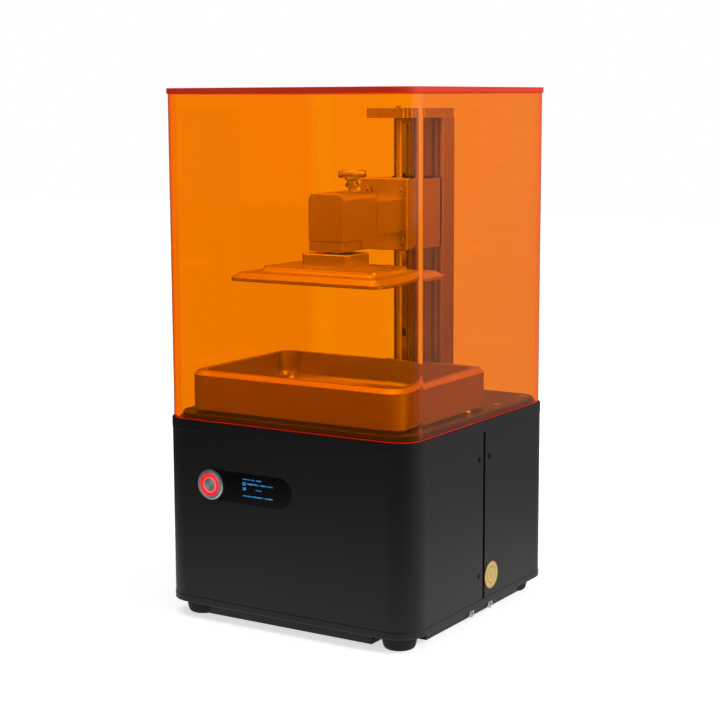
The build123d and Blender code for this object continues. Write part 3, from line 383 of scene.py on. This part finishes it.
# %% Aluminium finishes
BLAST_GRAIN, BLAST_DEPTH, BLAST_CLOUD = 0.8 * MM, 0.03 * MM, 25 * MM
LINE_STRETCH = 0.01


def blasted_metal(name, colour, roughness):
    """Metal with a very fine even grain and a faint cloud in its shine."""
    material, tree, shader = surface(name, Base_Color=linear(colour), Metallic=1.0,
                                     Roughness=roughness)
    bump(tree, shader, noise(tree, BLAST_GRAIN, detail=2.0), BLAST_DEPTH, strength=0.5)
    cloud = noise(tree, BLAST_CLOUD, detail=3.0)
    vary_roughness(tree, shader, cloud, roughness - 0.05, roughness + 0.06)
    return material


def lined_metal(name, colour, roughness, pitch, depth):
    """Metal with fine upright lines, such as an extrusion's or a grinding wheel's."""
    material, tree, shader = surface(name, Base_Color=linear(colour), Metallic=1.0,
                                     Roughness=roughness)
    lines = noise(tree, pitch, detail=3.0, roughness=0.6, scale=(1.0, 1.0, LINE_STRETCH))
    bump(tree, shader, lines, depth, strength=0.5)
    vary_roughness(tree, shader, lines, roughness - 0.06, roughness + 0.08)
    return material


blasted = blasted_metal("bead_blasted_anodised_aluminium", "#dcd3cc", 0.44)
blasted_vat = blasted_metal("anodised_vat_aluminium", "#d8ccc4", 0.42)
milled = blasted_metal("fine_milled_aluminium", "#ddd5ce", 0.36)
extruded = lined_metal("extruded_anodised_aluminium", "#cfc9c4", 0.38, 0.9 * MM, 0.02 * MM)
print("aluminium finishes made")

# %% [markdown]
# ## Steel, brass and rubber
# Rail and carriage are ground steel, bright with fine lines along the rail. Screws are blackened
# steel or bright zinc. The nut is brass. The feet are soft rubber: dull, nearly black.

# %% Steel, brass, rubber and plastic
MOULD_GRAIN, MOULD_DEPTH = 0.7 * MM, 0.03 * MM

ground_steel = lined_metal("ground_bearing_steel", "#b9b9bb", 0.22, 0.6 * MM, 0.008 * MM)
zinc_steel = blasted_metal("zinc_plated_steel", "#cfcfd0", 0.24)
black_oxide = blasted_metal("black_oxide_steel", "#2a2a2c", 0.38)
brass = blasted_metal("turned_brass", "#d9b66a", 0.28)


def moulded(name, colour, roughness, grain=MOULD_GRAIN):
    """A moulded plastic or rubber with a fine mould texture."""
    material, tree, shader = surface(name, Base_Color=linear(colour), Roughness=roughness,
                                     IOR=PLASTIC_IOR)
    bump(tree, shader, noise(tree, grain, detail=2.0), MOULD_DEPTH, strength=0.6)
    return material


rubber = moulded("moulded_rubber", "#0f0f10", 0.72, 1.0 * MM)
plastic = moulded("moulded_abs_black", "#141415", 0.48)
print("steel, brass, rubber and plastic made")

# %% [markdown]
# ## Electronics finishes
# The circuit boards have green solder mask; lamps have clear domes. They sit inside the base and
# show only through the vents.

# %% Boards, lamps and screen
solder_mask = moulded("solder_mask_board", "#0d4a25", 0.4, 2.0 * MM)
lamp_lens = moulded("clear_epoxy_lens", "#e8e6d2", 0.15)
screen_glass, tree, shader = surface("screen_glass", Base_Color=linear("#0b0b0f"),
                                     Roughness=0.08, IOR=1.52)
vary_roughness(tree, shader, noise(tree, 30 * MM, detail=4.0), 0.05, 0.14)
print("board, lens and screen made")

# %% [markdown]
# ## Smoked window and release film
# The window over the display is gloss black acrylic, polished flat. The film under the vat is clear
# and a little hazy where it is stretched.

# %% Window and film
ACRYLIC_IOR, FILM_IOR = 1.49, 1.35

window_gloss, tree, shader = surface("smoked_gloss_acrylic", Base_Color=linear("#08080a"),
                                     Roughness=0.09, IOR=ACRYLIC_IOR)
vary_roughness(tree, shader, noise(tree, 12 * MM, detail=4.0), 0.06, 0.13)

release_film, tree, shader = surface("fluoropolymer_film", Base_Color=linear("#f0f0f2"),
                                     Roughness=0.12, IOR=FILM_IOR, Transmission_Weight=0.85)
bump(tree, shader, noise(tree, 40 * MM, detail=1.0), 0.2 * MM, strength=0.3)
print("window and film made")

# %% [markdown]
# ## Turned stainless button
# The button's flange and cap are turned on a lathe, so their marks are circles round the button's
# axis, and their highlights fan out from it. The ring between them is a red diffuser with light
# behind it, brightest in the middle of its width. A little of that red light is painted on the
# cap's rim as a glow.

# %% Button finishes
TURNING_PITCH, TURNING_DEPTH = 0.35 * MM, 0.01 * MM
CAP_PAINTED_SPILL_SPAN, CAP_PAINTED_SPILL = (4.7 * MM, 5.2 * MM), 1.3
RING_SPAN, RING_GLOW = (5.8 * MM, 8.3 * MM), 1.5
button_low, button_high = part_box("button_cap")
BUTTON_AXIS = ((button_low.x + button_high.x) / 2, 0.0, (button_low.z + button_high.z) / 2)


def distance_from_axis(tree, centre, flat_axis):
    """Distance in metres from a line along one axis, for marks that run round it."""
    moved = vector_maths(tree, "SUBTRACT", object_place(tree), centre)
    keep = tuple(0.0 if axis == flat_axis else 1.0 for axis in "XYZ")
    return vector_maths(tree, "LENGTH", vector_maths(tree, "MULTIPLY", moved, keep))


turned, tree, shader = surface("turned_stainless_steel", Base_Color=linear("#f0eff0"),
                               Metallic=1.0, Roughness=0.46, Anisotropic=0.85)
round_marks = add(tree, "ShaderNodeTangent", {"direction_type": "RADIAL", "axis": "Y"})
tree.links.new(round_marks.outputs["Tangent"], shader.inputs["Tangent"])
radius = distance_from_axis(tree, BUTTON_AXIS, "Y")
turns = maths(tree, "MULTIPLY", radius, 2 * math.pi / TURNING_PITCH)
bump(tree, shader, maths(tree, "SINE", turns), TURNING_DEPTH, strength=0.6)

# The cap's copy of the finish adds a painted red glow towards its rim, standing in for the ring's
# light spilling onto it.
lit_cap = turned.copy()
lit_cap.name = "turned_stainless_cap_painted_spill"
tree = lit_cap.node_tree
shader = tree.nodes["Principled BSDF"]
outwards = spread(tree, distance_from_axis(tree, BUTTON_AXIS, "Y"), CAP_PAINTED_SPILL_SPAN)
painted_spill = ramp(tree, outwards, [(0.0, "#000000"), (1.0, "#ff1828")])
tree.links.new(painted_spill, shader.inputs["Emission Color"])
shader.inputs["Emission Strength"].default_value = CAP_PAINTED_SPILL

ring_light, tree, shader = surface("lit_red_diffuser", Base_Color=linear("#c00812"),
                                   Roughness=0.35, Emission_Strength=RING_GLOW)
across = spread(tree, distance_from_axis(tree, BUTTON_AXIS, "Y"), RING_SPAN)
glow = ramp(tree, across, [(0.0, "#a8000c"), (0.45, "#ff2430"), (0.7, "#ff0c1c"),
                           (1.0, "#7c0008")])
tree.links.new(glow, shader.inputs["Emission Color"])
print("button finishes made")

# %% [markdown]
# ## Gold sticker
# A round gold foil seal closes the gap at the side. It carries only a plain rim and a ring, with
# small dots pressed in the foil.

# %% Gold foil
SEAL_RADIUS, DOT_SIZE, DOT_DEPTH = 10.2 * MM, 1.6 * MM, 0.12 * MM
seal_low, seal_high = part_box("seal_disc")
SEAL_CENTRE = (0.0, (seal_low.y + seal_high.y) / 2, (seal_low.z + seal_high.z) / 2)
foil, tree, shader = surface("gold_foil", Base_Color=linear("#c9973c"), Metallic=0.6,
                             Roughness=0.42)
outwards = spread(tree, distance_from_axis(tree, SEAL_CENTRE, "X"), (0.0, SEAL_RADIUS))
tint = ramp(tree, outwards, [(0.0, "#e0b866"), (0.52, "#f2cf8a"), (0.6, "#b88a3c"),
                             (0.66, "#f0cd88"), (0.9, "#e8c47c"), (0.97, "#b08a44")])
tree.links.new(tint, shader.inputs["Base Color"])
where = scaled_place(tree, (1, 1, 1))
dots = add(tree, "ShaderNodeTexVoronoi", Vector=where, Scale=1 / DOT_SIZE)
bump(tree, shader, dots.outputs["Distance"], DOT_DEPTH, strength=0.7)
print("gold foil made")

# %% [markdown]
# ## Amber acrylic
# The cover is cast acrylic, 4 mm thick, dyed amber to keep violet light off the resin. Dye is in
# the whole thickness, so a short way through it looks orange and a long way, along a sheet's own
# edge, turns deep red. That needs a real wall, with clear surfaces and absorption inside, and not a
# tinted skin. Its sawn edges are matte; the light trapped in the sheet that leaves there is painted
# on their faces as a red colour and a faint red glow, in a finish of their own.

# %% Amber acrylic
CLEAR_PER_METRE = (1.5, 168.0, 1500.0)
SAW_MARKS, SAW_DEPTH = 1.2 * MM, 0.05 * MM
densest = max(CLEAR_PER_METRE)

amber, tree, shader = surface("amber_cast_acrylic", Base_Color=linear("#ffffff"), Roughness=0.0,
                              IOR=ACRYLIC_IOR, Transmission_Weight=1.0)
dye_colour = (*(1 - part / densest for part in CLEAR_PER_METRE), 1.0)
dye = add(tree, "ShaderNodeVolumeAbsorption", Density=densest, Color=dye_colour)
tree.links.new(dye.outputs["Volume"], tree.nodes["Material Output"].inputs["Volume"])

# Sawn edges: a red colour and a faint red emission paint on the light that leaves the sheet's
# edges.
amber_edge_painted_glow, tree, shader = surface("sawn_acrylic_edge_painted_glow", Base_Color=linear("#e8330f"),
                                   Roughness=0.45, IOR=ACRYLIC_IOR, Transmission_Weight=0.25,
                                   Emission_Color=linear("#ff2a0c"), Emission_Strength=0.1)
bump(tree, shader, noise(tree, SAW_MARKS, detail=2.0), SAW_DEPTH, strength=0.4)
print("amber acrylic absorbs", CLEAR_PER_METRE, "per metre")

# %% [markdown]
# ## Finishes on the mechanical parts
# Each part that already has the right shape keeps it, and only gets its finish.

# %% Assign finishes
FINISHES = {
    powder_black: ["base_tray", "bottom_plate", "side_pillars", "front_shell", "rear_shell",
                   "rim_plate"],
    powder_deck: ["deck"],
    rubber: ["feet"],
    zinc_steel: ["base_screws", "vat_pins", "deck_screws", "neck_screws", "usb_port",
                 "spacer_posts", "top_bearing", "ball_stud", "ball"],
    black_oxide: ["shell_screws", "rail_screws", "top_plate_screws", "z_motor"],
    foil: ["seal_disc"],
    plastic: ["power_inlet", "switch_frame", "switch_rocker", "light_hood", "fan_frame",
              "fan_rotor", "carriage_end_caps"],
    window_gloss: ["display_window"],
    screen_glass: ["display_board", "lcd_panel"],
    turned: ["button_body"],
    lit_cap: ["button_cap"],
    ring_light: ["button_ring"],
    solder_mask: ["led_board", "mainboard"],
    lamp_lens: ["led_array"],
    milled: ["heat_sink", "shaft_coupler", "top_plate", "saddle", "arm_bracket", "neck_block",
             "film_clamp", "bracket_screws"],
    extruded: ["column"],
    ground_steel: ["linear_rail", "rail_carriage"],
    brass: ["lead_nut"],
    blasted: ["arm", "head_block", "ball_clamp", "build_plate"],
    blasted_vat: ["vat_body"],
    release_film: ["vat_film"],
}

for finish, members in FINISHES.items():
    for name in members:
        part = nodes[name]
        part.data.materials.clear()
        part.data.materials.append(finish)
print("finishes on", sum(len(m) for m in FINISHES.values()), "parts")

# %% [markdown]
# ## Cover walls and lid
# The walls are one bent sheet with round corners, polished on its cut edges, and the lid is a flat
# sheet glued on top. Fine, evenly spaced corner points matter here: a coarse corner would show as
# bands where the light bends through it.

# %% Build the cover
CORNER_STEPS, WALL_BANDS = 24, 6
SHARP_ANGLE = math.radians(35)
WALL, WALL_RADIUS, LID_RADIUS, EDGE = 4.0 * MM, 19.0 * MM, 20.0 * MM, 0.35 * MM


def round_rectangle(width, depth, radius, z):
    """Points at one height round a rectangle with round corners, anticlockwise."""
    points = []
    for i, (sx, sy) in enumerate(((1, 1), (-1, 1), (-1, -1), (1, -1))):
        cx, cy = sx * (width / 2 - radius), sy * (depth / 2 - radius)
        for k in range(CORNER_STEPS + 1):
            angle = math.pi / 2 * (i + k / CORNER_STEPS)
            points.append((cx + radius * math.cos(angle), cy + radius * math.sin(angle), z))
    return points


def new_piece(name, mesh):
    """Turns a bmesh into an object of the scene."""
    data = bpy.data.meshes.new(name)
    mesh.to_mesh(data)
    mesh.free()
    made = bpy.data.objects.new(name, data)
    bpy.context.scene.collection.objects.link(made)
    return made


def stacked(name, rings, closed=False):
    """A smooth piece from rings of points joined in order; a closed stack has no end faces."""
    mesh = bmesh.new()
    rows = [[mesh.verts.new(point) for point in ring] for ring in rings]
    pairs = list(zip(rows, rows[1:])) + ([(rows[-1], rows[0])] if closed else [])
    for low, high in pairs:
        for i in range(len(low)):
            j = (i + 1) % len(low)
            mesh.faces.new((low[i], low[j], high[j], high[i]))
    if not closed:
        mesh.faces.new(list(reversed(rows[0])))
        mesh.faces.new(rows[-1])
    bmesh.ops.recalc_face_normals(mesh, faces=mesh.faces)
    made = new_piece(name, mesh)
    made.data.shade_smooth()
    made.data.set_sharp_from_angle(angle=SHARP_ANGLE)
    return made


def finish_piece(piece, material, body, slot, *replaced):
    """Gives a new piece its material, its body and the parts it stands for."""
    piece.data.materials.append(material)
    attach(piece, body)
    if replaced:
        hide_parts(*replaced)


def mark_faces(piece, material, chosen):
    """Puts a second material on the faces that a test picks by their normal."""
    piece.data.materials.append(material)
    marked = [face for face in piece.data.polygons if chosen(face.normal)]
    for face in marked:
        face.material_index = 1
    return len(marked)


wall_low, wall_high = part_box("cover_walls")
wall_w, wall_d = wall_high.x - wall_low.x, wall_high.y - wall_low.y


def wall_ring(inset, z):
    return round_rectangle(wall_w - 2 * inset, wall_d - 2 * inset, WALL_RADIUS - inset, z)


flat_height = wall_high.z - wall_low.z - 2 * EDGE
levels = [wall_low.z + (EDGE + flat_height * i / WALL_BANDS) for i in range(WALL_BANDS + 1)]
outside = [wall_ring(0, level) for level in levels]
top_edge = [wall_ring(EDGE, wall_high.z), wall_ring(WALL - EDGE, wall_high.z)]
inside = [wall_ring(WALL, level) for level in reversed(levels)]
low_edge = [wall_ring(WALL - EDGE, wall_low.z), wall_ring(EDGE, wall_low.z)]
cover_shell = stacked("cover_shell", outside + top_edge + inside + low_edge, closed=True)
finish_piece(cover_shell, amber, "cover", "amber_acrylic", "cover_walls")
edge_faces = mark_faces(cover_shell, amber_edge_painted_glow, lambda normal: abs(normal.z) > 0.5)

lid_low, lid_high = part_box("cover_lid")
lid_w, lid_d = lid_high.x - lid_low.x, lid_high.y - lid_low.y
lid_profile = [(EDGE, lid_low.z), (0.0, lid_low.z + EDGE), (0.0, lid_high.z - EDGE),
               (EDGE, lid_high.z)]
lid_rings = [round_rectangle(lid_w - 2 * inset, lid_d - 2 * inset, LID_RADIUS - inset, z)
             for inset, z in lid_profile]
cover_top = stacked("cover_top", lid_rings)
finish_piece(cover_top, amber, "cover", "amber_acrylic", "cover_lid")
edge_faces += mark_faces(cover_top, amber_edge_painted_glow, lambda normal: abs(normal.z) < 0.9)
print("cover", [round(v / MM, 1) for v in (wall_w, wall_d)], "mm,", edge_faces, "edge faces")

# %% [markdown]
# ## Lead screw
# A trapezoidal thread: four starts of 8 mm lead, so a crest passes every 2 mm. The mesh is a ring
# of points swept up the bar, whose radius follows how far round the thread each point is.

# %% Build the lead screw
LEAD, PITCH, CREST, ROOT = 8.0 * MM, 2.0 * MM, 4.0 * MM, 3.15 * MM
HALF_ROOT_SHARE, SLOPE_SHARE = 0.12, 0.14
THREAD_SIDES, LAYERS_PER_PITCH = 32, 8
screw_low, screw_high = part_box("lead_screw")
screw_x, screw_y = (screw_low.x + screw_high.x) / 2, (screw_low.y + screw_high.y) / 2


def thread_radius(angle, z):
    """Radius of a trapezoidal thread: flat crest, sloping side, flat root, sloping side."""
    turns = (z / PITCH - angle / (2 * math.pi) * (LEAD / PITCH)) % 1.0
    rise = (abs(turns - 0.5) - HALF_ROOT_SHARE) / SLOPE_SHARE
    return ROOT + (CREST - ROOT) * min(max(rise, 0.0), 1.0)


def turned_ring(x, y, z, sides, radius_at):
    """A ring of points round an upright axis, whose radius depends on the angle."""
    ring = []
    for k in range(sides):
        angle = 2 * math.pi * k / sides
        r = radius_at(angle)
        ring.append((x + r * math.cos(angle), y + r * math.sin(angle), z))
    return ring


layers = int((screw_high.z - screw_low.z) / PITCH * LAYERS_PER_PITCH)
thread_rings = []
for i in range(layers + 1):
    z = screw_low.z + (screw_high.z - screw_low.z) * i / layers
    at_end = i in (0, layers)
    thread_rings.append(turned_ring(screw_x, screw_y, z, THREAD_SIDES,
                                    lambda angle: ROOT if at_end else thread_radius(angle, z)))
lead_thread = stacked("lead_screw_thread", thread_rings)
screw_steel = blasted_metal("rolled_thread_steel", "#ece6e0", 0.3)
finish_piece(lead_thread, screw_steel, "screw_drive", "steel_bright", "lead_screw")
print("thread with", layers, "layers")

# %% [markdown]
# ## Knurled knob
# A turned aluminium thumb screw. Its grip is knurled: straight ridges round the rim with chamfered
# ends, over a polished waisted neck, and its top is slightly dished.

# %% Build the knob
knob_low, knob_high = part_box("knob")
KNOB_X, KNOB_Y = (knob_low.x + knob_high.x) / 2, (knob_low.y + knob_high.y) / 2
GRIP_R, GRIP_H, NECK_R, NECK_H, STEM_R = 10.2 * MM, 5.0 * MM, 5.4 * MM, 7.0 * MM, 3.0 * MM
GRIP_CHAMFER, NECK_CHAMFER, FLARE, DISH = 0.7 * MM, 0.6 * MM, 0.8 * MM, 0.5 * MM
WAIST_R, WAIST_LOW, WAIST_HIGH = NECK_R - 1.4 * MM, 3.4 * MM, 4.6 * MM
COLLAR_H, STEM_GAP = 2.0 * MM, 0.1 * MM
RIDGES, RIDGE_DEPTH, SIDES_PER_RIDGE = 36, 0.35 * MM, 6
top, grip_low = knob_high.z, knob_high.z - GRIP_H
neck_low = grip_low - NECK_H
KNOB_PROFILE = [
    (STEM_R, knob_low.z), (STEM_R, neck_low - STEM_GAP), (NECK_R - NECK_CHAMFER, neck_low),
    (NECK_R, neck_low + NECK_CHAMFER), (NECK_R, neck_low + COLLAR_H),
    (WAIST_R, neck_low + WAIST_LOW), (WAIST_R, neck_low + WAIST_HIGH),
    (NECK_R, grip_low - FLARE), (NECK_R + FLARE, grip_low), (GRIP_R - GRIP_CHAMFER, grip_low),
    (GRIP_R, grip_low + GRIP_CHAMFER), (GRIP_R, top - GRIP_CHAMFER),
    (GRIP_R - GRIP_CHAMFER, top), (GRIP_R * 0.55, top), (GRIP_R * 0.5, top - DISH),
    (GRIP_R * 0.2, top - DISH),
]


def ridge_cut(angle):
    """How far the knurling goes in at an angle round the grip."""
    return RIDGE_DEPTH * (0.5 + 0.5 * math.cos(RIDGES * angle))


knob_rings = [turned_ring(KNOB_X, KNOB_Y, z, RIDGES * SIDES_PER_RIDGE,
                          lambda angle: r - ridge_cut(angle) if r == GRIP_R else r)
              for r, z in KNOB_PROFILE]
thumb_knob = stacked("thumb_knob", knob_rings)
knob_metal = blasted_metal("turned_knob_aluminium", "#d8d8da", 0.2)
finish_piece(thumb_knob, knob_metal, "knob", "aluminium_machined", "knob")
print("knob with", RIDGES, "ridges")

# %% [markdown]
# ## Picture on the display
# The little display is blue on black. Its picture is generic: a few short status bars, a square
# icon and a long progress bar, with no words. Each mark is a thin raised tile on the window, lit
# from itself.

# %% Build the display marks
window_low, window_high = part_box("display_window")
DISPLAY_X, DISPLAY_Z = -18.9 * MM, 102.8 * MM
DISPLAY_W, DISPLAY_H = 29.4 * MM, 14.7 * MM
MARK_PROUD = 0.04 * MM
# Each mark's left and low corner, width and height, as shares of the display.
MARKS = [
    (0.03, 0.90, 0.20, 0.05), (0.27, 0.90, 0.10, 0.05), (0.42, 0.90, 0.16, 0.05),
    (0.03, 0.62, 0.09, 0.17), (0.15, 0.68, 0.34, 0.07), (0.53, 0.68, 0.20, 0.07),
    (0.77, 0.68, 0.14, 0.07), (0.03, 0.38, 0.09, 0.14), (0.42, 0.42, 0.16, 0.06),
    (0.03, 0.08, 0.60, 0.06), (0.68, 0.08, 0.22, 0.06),
]
display_light, tree, shader = surface("blue_display_light", Base_Color=linear("#0a1a2a"),
                                      Roughness=0.4, Emission_Strength=1.0)
flicker = noise(tree, 2.2 * MM, detail=1.0)
glow = ramp(tree, flicker, [(0.35, "#0d5f94"), (0.65, "#2a96cc")])
tree.links.new(glow, shader.inputs["Emission Color"])

mesh = bmesh.new()
for left, low, width, height in MARKS:
    w, h = width * DISPLAY_W, height * DISPLAY_H
    x = DISPLAY_X - DISPLAY_W / 2 + left * DISPLAY_W + w / 2
    z = DISPLAY_Z - DISPLAY_H / 2 + low * DISPLAY_H + h / 2
    tile = bmesh.ops.create_cube(mesh, size=1.0)["verts"]
    bmesh.ops.scale(mesh, verts=tile, vec=(w, 2 * MARK_PROUD, h))
    bmesh.ops.translate(mesh, verts=tile, vec=(x, window_low.y, z))
display_marks = new_piece("display_marks", mesh)
finish_piece(display_marks, display_light, "base", "black_gloss")
print("display marks:", len(MARKS))
